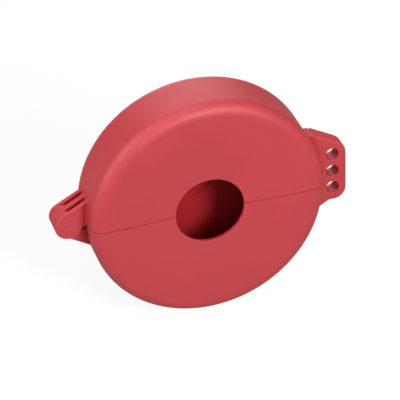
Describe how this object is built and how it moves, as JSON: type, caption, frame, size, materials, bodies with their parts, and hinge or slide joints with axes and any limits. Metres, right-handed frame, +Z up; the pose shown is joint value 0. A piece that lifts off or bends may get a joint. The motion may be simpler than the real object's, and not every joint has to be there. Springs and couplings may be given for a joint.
{
  "type": "valve handwheel lockout",
  "caption": "Round hinged clamshell cover that encloses a valve handwheel round its stem and is held shut by padlocks through its overlapping hasp plates.",
  "frame": {"origin": "the drum's centre: on its axis, midway between its two faces and on the parting plane of the two halves", "axes": "Y is the valve stem's axis, and the face with the stem opening looks towards -Y; +X points to the padlock hasp and -X to the hinge; +Z points up through the upper half, normal to the parting plane"},
  "size_m": [0.2226, 0.048, 0.176],
  "materials": {
    "shell_plastic": "satin moulded red plastic",
    "pin_steel": "plain drawn steel rod"
  },
  "bodies": {
    "lower_half": {"lower_shell": "shell_plastic", "lower_knockout": "shell_plastic"},
    "upper_half": {"upper_shell": "shell_plastic", "upper_knockout": "shell_plastic", "hinge_pin": "pin_steel"}
  },
  "joints": [
    {"name": "cover_hinge", "type": "hinge", "parent": "lower_half", "child": "upper_half", "pos_m": [-0.1011, 0.002, 0], "axis": [0, -1, 0], "range_deg": [0, 180]}
  ]
}
